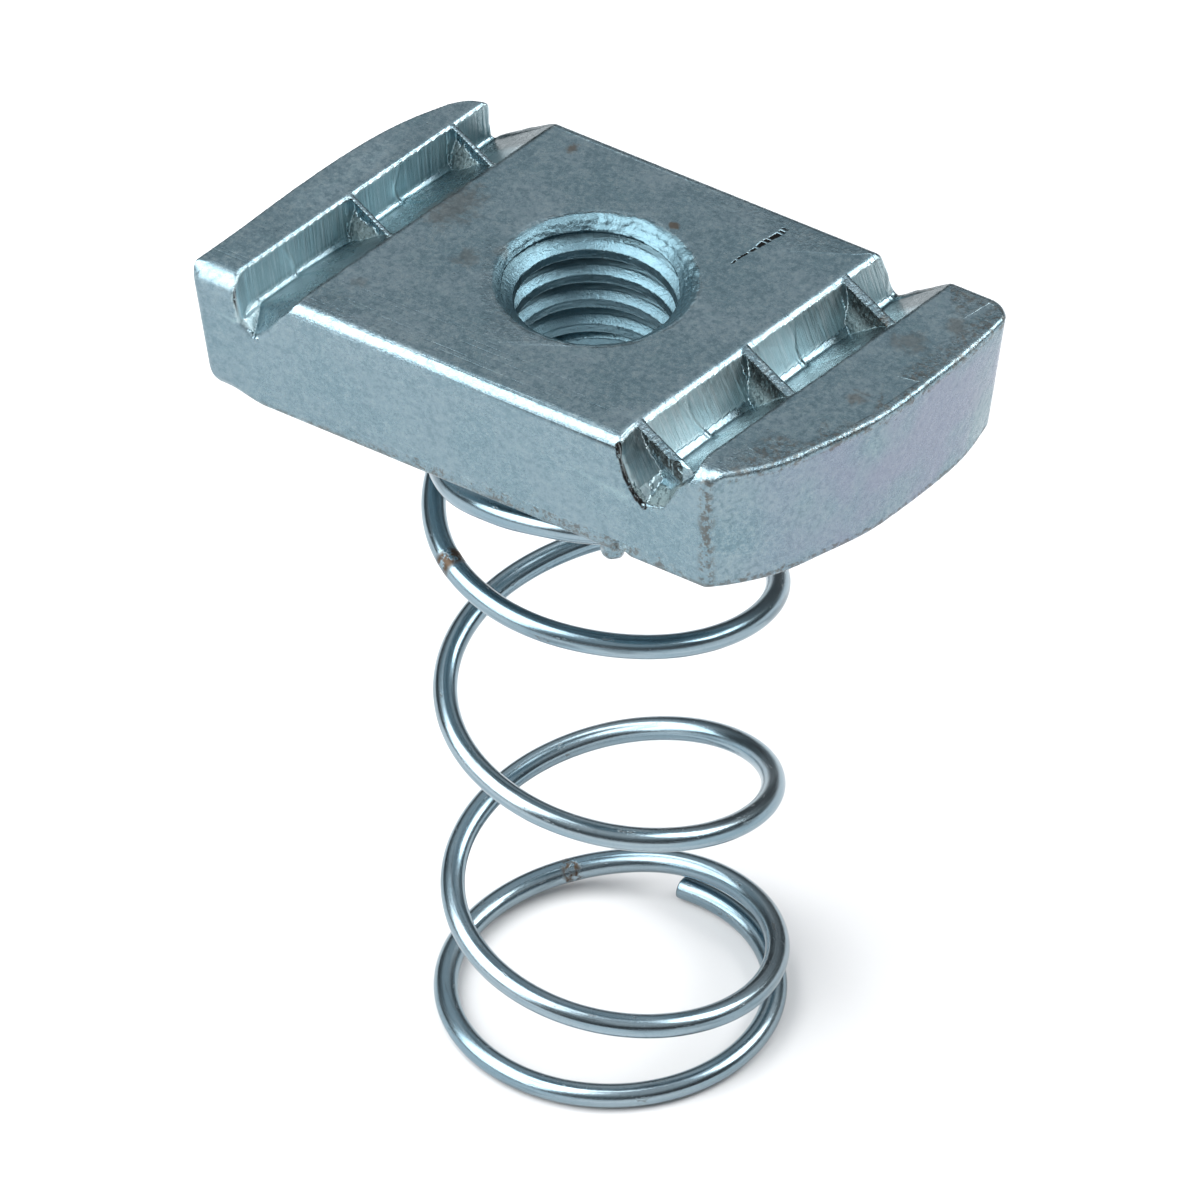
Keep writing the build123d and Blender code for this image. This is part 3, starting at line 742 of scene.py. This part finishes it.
def zinc_plate():
    m = Nodes("zinc_plate")
    co = m.tree.nodes.new("ShaderNodeTexCoord").outputs["Object"]
    p = m.vec("MULTIPLY", co, (1000, 1000, 1000))          # millimetres
    sep = m.tree.nodes.new("ShaderNodeSeparateXYZ")
    m.put(sep.inputs[0], p)
    X, Y, Z = sep.outputs
    thread, wall, torn_, groove = m.attr("thread"), m.attr("wall"), m.attr("torn"), m.attr("groove")
    edge, crevice_shade, rim = m.attr("edge"), m.attr("crevice_shade"), m.attr("rim")
    strip, line = m.attr("strip"), m.attr("line")

    # plating: clouds of tone, fine grain, small pits
    cloud = m.noise(p, 0.28, 4.0, 0.55, 0.4)
    grain = m.noise(p, 5.5, 5.0, 0.72)
    fine = m.noise(p, 17.0, 3.0, 0.7)
    blotch = m.noise(p, 1.3, 4.0, 0.7, 0.6)
    tone = m.mix(m.range(cloud, 0.36, 0.66), rgb(.185, .280, .325), rgb(.240, .325, .370))
    tone = m.mix(m.range(grain, 0.46, 0.62, 0, 0.50), tone, rgb(.32, .41, .435))
    mottle = m.noise(p, 3.2, 3.0, 0.65)
    tone = m.mix(m.range(mottle, 0.50, 0.36, 0, 0.65), tone, rgb(.13, .205, .24))
    tone = m.mix(m.range(mottle, 0.52, 0.66, 0, 0.65), tone, rgb(.31, .395, .42))
    tone = m.mix(m.range(fine, 0.54, 0.34, 0, 0.45), tone, rgb(.11, .175, .21))
    tone = m.mix(m.range(blotch, 0.50, 0.74, 0, 0.30), tone, rgb(.19, .30, .325))
    # the cut right end has a violet bloom, the front a cooler one
    bloom = m.math("MULTIPLY", m.range(X, 13.0, 17.5), m.range(m.noise(p, 0.22, 2.0, 0.5), 0.34, 0.62))
    tone = m.mix(m.math("MULTIPLY", bloom, m.range(Z, 45.9, 45.6, 0, 0.6)), tone, rgb(.28, .275, .37))
    tone = m.mix(m.math("MULTIPLY", m.range(Y, -9.6, -9.8), 0.30), tone, rgb(.205, .30, .35))
    # the sides are painted a little darker than the top: painted shade
    tone = m.mix(m.range(Z, 45.95, 45.6, 0, 0.16), tone, rgb(.09, .13, .15))
    # grooves were pressed after rolling: cleaner, greener metal; the walls are lightened further as painted light
    tone = m.mix(m.math("MULTIPLY", groove, 0.5), tone, rgb(.30, .42, .45))
    tone = m.mix(m.math("MULTIPLY", wall, 0.8), tone, rgb(.40, .53, .56))
    # painted shade: the groove floor turns dark towards its back end
    tone = m.mix(m.math("MULTIPLY", groove, m.range(Y, 6.3, 7.2, 0, 0.88)), tone, rgb(.055, .095, .11))
    tone = m.mix(m.math("MULTIPLY", rim, 0.45), tone, rgb(.17, .23, .24))
    # the tapped thread is darker: duller plating, and painted shade inside the hole
    tone = m.mix(m.math("MULTIPLY", thread, 0.8), tone, rgb(.105, .19, .23))
    # torn tooth faces are dark, with a broken black strip just under the crest; deep corners get painted shade
    broken = m.noise(p, 5.0, 3.0, 0.7)
    tone = m.mix(m.math("MULTIPLY", torn_, 0.85), tone, rgb(.17, .225, .23))
    tone = m.mix(m.math("MULTIPLY", torn_, m.range(broken, 0.50, 0.62, 0, 0.8)), tone, rgb(.04, .06, .065))
    tone = m.mix(m.math("MULTIPLY", m.range(strip, 0.1, 0.5), m.range(broken, 0.62, 0.50, 0, 0.95)), tone, rgb(.016, .02, .02))
    tone = m.mix(m.math("MULTIPLY", m.range(crevice_shade, 0.45, 1.0), 0.25), tone, rgb(.10, .16, .18))

    # brown oxide stains on the top and specks along the cropped edges
    def spot(x, y, r, strength, z=46.1, stretch=(1, 1, 1)):
        d = m.vec("MULTIPLY", m.vec("SUBTRACT", p, (x, y, z)), stretch)
        w = m.math("ADD", m.vec("LENGTH", d), m.math("MULTIPLY", m.math("SUBTRACT", blotch, 0.5), r * 2.6))
        return m.range(w, r, r * 0.25, 0.0, strength)

    stain = spot(-8.9, 1.0, 1.7, .50, stretch=(1, .7, 1))
    for q in ((-6.2, -2.0, .9, .45), (-6.3, 7.8, .45, .8), (-10.2, 0.0, .8, .4), (1.15, 5.5, .34, .9),
              (-4.9, -.6, .5, .4), (10.0, -6.2, .5, .45), (15.5, 4.0, 1.1, .45), (16.9, 6.2, .8, .5),
              (15.6, -.9, .7, .6), (-9.6, -6.4, .6, .35)):
        stain = m.math("MAXIMUM", stain, spot(*q))
    worn = m.range(edge, 0.15, 0.6)
    speck = m.math("MULTIPLY", m.range(m.noise(p, 2.3, 4.0, 0.75), 0.46, 0.60),
                   m.math("MULTIPLY", worn, m.range(X, 12.6, 13.6)))
    speck2 = m.math("MULTIPLY", m.range(m.noise(p, 2.9, 4.0, 0.75), 0.50, 0.62),
                    m.math("MULTIPLY", m.math("MULTIPLY", worn, m.range(thread, 0.5, 0.1)), m.range(Z, 41.0, 40.0)))
    stain = m.math("MAXIMUM", stain, m.math("MULTIPLY", m.math("MAXIMUM", speck, speck2), 0.65))
    pits = m.math("MULTIPLY", m.range(m.noise(p, 3.4, 2.0, 0.6), 0.74, 0.80), 0.4)
    stain = m.math("MAXIMUM", stain, pits)
    corner = m.math("MULTIPLY", m.range(m.math("ABSOLUTE", m.math("SUBTRACT", X, 12.5)), 0.55, 0.1),
                    m.range(Y, -9.25, -9.6))
    corner = m.math("MULTIPLY", corner, m.range(m.noise(p, 2.6, 4.0, 0.75), 0.46, 0.58, 0, 0.7))
    stain = m.math("MAXIMUM", stain, corner)
    low_edge = m.math("MULTIPLY", m.range(Z, 39.4, 39.05), m.range(Y, -9.3, -9.6))
    low_edge = m.math("MULTIPLY", low_edge, m.range(m.noise(p, 2.2, 4.0, 0.75), 0.45, 0.58, 0, 0.6))
    stain = m.math("MAXIMUM", stain, low_edge)
    tone = m.mix(stain, tone, rgb(.100, .082, .064))
    # painted shadow: a thin black line down the left edge of each mouth
    tone = m.mix(m.math("MULTIPLY", m.range(line, 0.2, 0.7), m.range(broken, 0.30, 0.45)), tone, rgb(.012, .012, .012))

    # scratches: fine lengthwise ones by the long edges and one black broken score
    stretched = m.vec("MULTIPLY", p, (0.09, 9.0, 9.0))
    lines = m.noise(stretched, 1.0, 3.0, 0.6)
    near_edge = m.range(Y, -3.5, -8.6)
    lengthwise = m.math("MULTIPLY", m.range(lines, 0.55, 0.70), near_edge)
    rel = m.vec("SUBTRACT", p, (5.0, 4.55, 46.1))
    sx = m.tree.nodes.new("ShaderNodeSeparateXYZ")
    m.put(sx.inputs[0], rel)
    # along the score (0.242, 0.970), across it (0.970, -0.242)
    al = m.math("ADD", m.math("MULTIPLY", sx.outputs[0], 0.242), m.math("MULTIPLY", sx.outputs[1], 0.970))
    ac = m.math("ADD", m.math("MULTIPLY", sx.outputs[0], 0.970), m.math("MULTIPLY", sx.outputs[1], -0.242))
    wob = m.math("MULTIPLY", m.math("SUBTRACT", m.noise(p, 1.6, 2.0, 0.6), 0.5), 0.28)
    ac = m.math("ABSOLUTE", m.math("ADD", ac, wob))
    dash = m.range(m.noise(m.vec("MULTIPLY", p, (0.3, 1.6, 1.0)), 1.5, 1.0, 0.5), 0.30, 0.36)
    ac = m.math("DIVIDE", ac, m.range(al, 1.0, 2.4, 0.45, 1.15))
    score = m.math("MULTIPLY", m.range(ac, 0.17, 0.08), m.math("MULTIPLY", dash, m.math("MULTIPLY",
                   m.range(al, -0.1, 0.2), m.range(al, 3.9, 3.6))))
    score = m.math("MULTIPLY", score, m.range(Z, 45.9, 46.0))
    tone = m.mix(score, tone, rgb(.018, .018, .018))

    # shear lines run up and down the pressed walls
    G_ = m.tree.nodes.new("ShaderNodeVectorRotate")
    G_.rotation_type = "Z_AXIS"
    m.put(G_.inputs["Vector"], p)
    G_.inputs["Angle"].default_value = G
    shear_v = m.vec("MULTIPLY", G_.outputs[0], (0.4, 7.0, 0.35))
    shear = m.noise(shear_v, 1.0, 4.0, 0.72)
    tone = m.mix(m.math("MULTIPLY", wall, m.range(shear, 0.45, 0.68, 0, 0.6)), tone, rgb(.55, .62, .64))
    turned = m.noise(m.vec("MULTIPLY", p, (0.6, 0.6, 9.0)), 1.0, 3.0, 0.6)

    # roughness
    rough = m.range(grain, 0.3, 0.75, 0.23, 0.37)
    rough = m.math("ADD", rough, m.range(cloud, 0.35, 0.7, -0.03, 0.05))
    rough = m.math("ADD", rough, m.math("MULTIPLY", stain, 0.22))
    rough = m.math("ADD", rough, m.math("MULTIPLY", torn_, 0.20))
    rough = m.math("ADD", rough, m.math("MULTIPLY", thread, 0.12))
    rough = m.math("ADD", rough, m.range(X, -13.2, -14.2, 0, 0.10))
    rough = m.math("ADD", rough, m.math("MULTIPLY", wall, 0.10))
    rough = m.math("SUBTRACT", rough, m.math("MULTIPLY", m.range(edge, 0.3, 0.9), 0.05), clamp=True)

    # relief
    h = m.math("MULTIPLY", grain, 0.010)
    h = m.math("ADD", h, m.math("MULTIPLY", fine, 0.003))
    h = m.math("ADD", h, m.math("MULTIPLY", blotch, 0.010))
    h = m.math("SUBTRACT", h, m.math("MULTIPLY", pits, 0.02))
    h = m.math("SUBTRACT", h, m.math("MULTIPLY", lengthwise, 0.006))
    h = m.math("SUBTRACT", h, m.math("MULTIPLY", score, 0.05))
    h = m.math("ADD", h, m.math("MULTIPLY", wall, m.math("MULTIPLY", shear, 0.045)))
    h = m.math("ADD", h, m.math("MULTIPLY", thread, m.math("MULTIPLY", turned, 0.016)))
    h = m.math("ADD", h, m.math("MULTIPLY", rim, m.math("MULTIPLY", m.noise(p, 3.2, 4.0, 0.7), 0.06)))
    h = m.math("ADD", h, m.math("MULTIPLY", torn_, m.math("MULTIPLY", m.noise(p, 5.5, 4.0, 0.75), 0.14)))
    h = m.math("ADD", h, m.math("MULTIPLY", m.math("MULTIPLY", worn, m.range(X, -12.5, -11.0)),
                              m.math("MULTIPLY", m.noise(p, 5.5, 3.0, 0.7), 0.03)))
    bump = m.node("ShaderNodeBump", Strength=0.9, Distance=MM, Height=h)

    b = m.node("ShaderNodeBsdfPrincipled")
    m.put(b.inputs["Base Color"], tone)
    b.inputs["Metallic"].default_value = 1.0
    m.put(b.inputs["Roughness"], rough)
    m.put(b.inputs["Normal"], bump.outputs[0])
    o = m.node("ShaderNodeOutputMaterial")
    m.put(o.inputs["Surface"], b.outputs[0])
    return m.mat


def zinc_wire():
    m = Nodes("zinc_wire")
    w = m.attr("wire", "Vector")
    turn = m.attr("turn")
    drawn = m.noise(m.vec("MULTIPLY", w, (0.12, 6.0, 6.0)), 1.0, 4.0, 0.65)
    cloud = m.noise(m.vec("MULTIPLY", w, (0.10, 0.8, 0.8)), 1.0, 3.0, 0.6)
    grain = m.noise(w, 6.0, 4.0, 0.7)
    tone = m.mix(m.range(cloud, 0.35, 0.65), rgb(.190, .285, .340), rgb(.260, .335, .375))
    tone = m.mix(m.range(drawn, 0.45, 0.70, 0, 0.35), tone, rgb(.42, .50, .54))
    tone = m.mix(m.range(grain, 0.52, 0.72, 0, 0.30), tone, rgb(.14, .19, .22))
    # painted reflection: dark streaks along the wire stand in for the dark bands it reflects
    dark_band_reflection = m.range(m.noise(m.vec("MULTIPLY", w, (0.16, 2.2, 2.2)), 1.0, 3.0, 0.6), 0.54, 0.68)
    tone = m.mix(m.math("MULTIPLY", dark_band_reflection, 0.55), tone, rgb(.07, .10, .12))

    def mark(at, half):
        return m.range(m.math("ABSOLUTE", m.math("SUBTRACT", turn, at)), half, half * 0.45)

    patch = m.range(m.noise(w, 1.6, 4.0, 0.75), 0.44, 0.55)
    brown = m.math("MULTIPLY", mark(238.5, 4.6), patch)
    brown = m.math("MAXIMUM", brown, m.math("MULTIPLY", mark(398.0, 3.0), 0.6))
    brown = m.math("MAXIMUM", brown, m.math("MULTIPLY", mark(1217.0, 4.5), m.range(m.noise(w, 2.2, 3.0, 0.6), .45, .6)))
    scuff = m.math("MULTIPLY", m.range(m.noise(m.vec("MULTIPLY", w, (0.7, 2.2, 2.2)), 1.0, 4.0, 0.8), 0.62, 0.70), 0.5)
    dark = m.math("MAXIMUM", brown, scuff)
    tone = m.mix(dark, tone, rgb(.085, .062, .045))
    rough = m.range(drawn, 0.3, 0.7, 0.17, 0.27)
    rough = m.math("ADD", rough, m.math("MULTIPLY", dark, 0.25))
    h = m.math("ADD", m.math("MULTIPLY", drawn, 0.008), m.math("MULTIPLY", grain, 0.004))
    h = m.math("SUBTRACT", h, m.math("MULTIPLY", dark, 0.015))
    bump = m.node("ShaderNodeBump", Strength=0.8, Distance=MM, Height=h)
    b = m.node("ShaderNodeBsdfPrincipled")
    m.put(b.inputs["Base Color"], tone)
    b.inputs["Metallic"].default_value = 1.0
    m.put(b.inputs["Roughness"], rough)
    m.put(b.inputs["Normal"], bump.outputs[0])
    o = m.node("ShaderNodeOutputMaterial")
    m.put(o.inputs["Surface"], b.outputs[0])
    return m.mat


def floor_material():
    m = Nodes("studio_floor")
    co = m.tree.nodes.new("ShaderNodeTexCoord").outputs["Object"]
    n = m.noise(co, 6.0, 3.0, 0.5)
    tone = m.mix(n, rgb(.60, .605, .61), rgb(.63, .635, .64))
    b = m.node("ShaderNodeBsdfPrincipled")
    m.put(b.inputs["Base Color"], tone)
    b.inputs["Roughness"].default_value = 0.75
    b.inputs["Specular IOR Level"].default_value = 0.25
    o = m.node("ShaderNodeOutputMaterial")
    m.put(o.inputs["Surface"], b.outputs[0])
    return m.mat


# ------------------------------------------------------------------ the two pieces
nut_piece = build_nut()
nut_piece.data.materials.append(zinc_plate())
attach(nut_piece, "nut")
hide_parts("nut_plate")

spring_piece, centre_z, wire_length = build_spring()
spring_piece.data.materials.append(zinc_wire())
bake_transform(spring_piece)
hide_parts("coil_spring")

# ------------------------------------------------------------------ stage
bpy.ops.mesh.primitive_plane_add(size=8.0, location=(0, 0, 0))
floor = bpy.context.object
floor.name = "floor"
floor.location.z = -0.00002
floor.data.materials.append(floor_material())

scene = bpy.context.scene
scene.view_settings.view_transform = "Standard"
world = bpy.data.worlds.new("studio")
scene.world = world
world.use_nodes = True
nt = world.node_tree
nt.nodes.clear()
tc = nt.nodes.new("ShaderNodeTexCoord")
sepw = nt.nodes.new("ShaderNodeSeparateXYZ")
nt.links.new(tc.outputs["Generated"], sepw.inputs[0])
rampw = nt.nodes.new("ShaderNodeValToRGB")
nt.links.new(sepw.outputs[2], rampw.inputs[0])
cr = rampw.color_ramp
cr.elements[0].position, cr.elements[0].color = 0.0, rgb(.10, .105, .11)
cr.elements[1].position, cr.elements[1].color = 1.0, rgb(.68, .71, .76)
for pos, val in ((0.25, .10), (0.45, .25), (0.60, .68), (0.80, .72)):
    e = cr.elements.new(pos)
    e.color = rgb(val, val * 1.02, val * 1.05)
bgd = nt.nodes.new("ShaderNodeBackground")
nt.links.new(rampw.outputs[0], bgd.inputs[0])
bgd.inputs[1].default_value = 1.0
outw = nt.nodes.new("ShaderNodeOutputWorld")
nt.links.new(bgd.outputs[0], outw.inputs[0])


def softbox(name, place, target, size, radiance, tint=(1, 1, 1)):
    """A square area light of that size in metres whose face shines with that radiance."""
    li = bpy.data.lights.new(name, "AREA")
    li.shape, li.size, li.size_y = "RECTANGLE", size[0], size[1]
    li.energy = radiance * math.pi * size[0] * size[1]
    li.color = tint
    ob = bpy.data.objects.new(name, li)
    scene.collection.objects.link(ob)
    ob.location = place
    d = Vector(target) - Vector(place)
    ob.rotation_mode = "QUATERNION"
    ob.rotation_quaternion = d.to_track_quat("-Z", "Y")
    ob.visible_camera = False
    return ob


mid = (0.0008, 0.0, 0.035)
softbox("key_front_left", (-0.405, -0.495, 0.668), mid, (1.10, 1.20), 5.0)
softbox("top_strip", (0.06, -0.10, 0.98), mid, (0.34, 0.34), 4.0)
softbox("back_right", (0.51, 0.45, 0.63), mid, (0.55, 0.45), 8.0)

# ------------------------------------------------------------------ camera
AZ, EL, ROLL = math.radians(32.5), math.radians(41.0), math.radians(0.2)
R = Vector((math.cos(AZ), math.sin(AZ), 0))
Fw = Vector((-math.sin(AZ) * math.cos(EL), math.cos(AZ) * math.cos(EL), -math.sin(EL)))
U = R.cross(Fw)
dist = 1.0
px_per_m = 20430.0
cam_data = bpy.data.cameras.new("camera")
cam = bpy.data.objects.new("camera", cam_data)
scene.collection.objects.link(cam)
# the image's middle, from where the top of the hole's axis lands in the frame
ox, oy = (600 - 597.9) / px_per_m, (600 - 278.3) / px_per_m
c_, s_ = math.cos(ROLL), math.sin(ROLL)
right, down = c_ * ox + s_ * oy, -s_ * ox + c_ * oy
aim = Vector((0, 0, Z_TOP * MM)) + R * right - U * down
cam_r = R * c_ - U * (-s_) * -1
cam_r = R * c_ - U * s_
cam_u = R * s_ + U * c_
rot = Matrix((cam_r, cam_u, -Fw)).transposed()
cam.matrix_world = Matrix.Translation(aim - Fw * dist) @ rot.to_4x4()
cam_data.sensor_width = 36.0
cam_data.lens = px_per_m * dist * 36.0 / 1200.0
cam_data.clip_start, cam_data.clip_end = 0.05, 20.0
scene.camera = cam
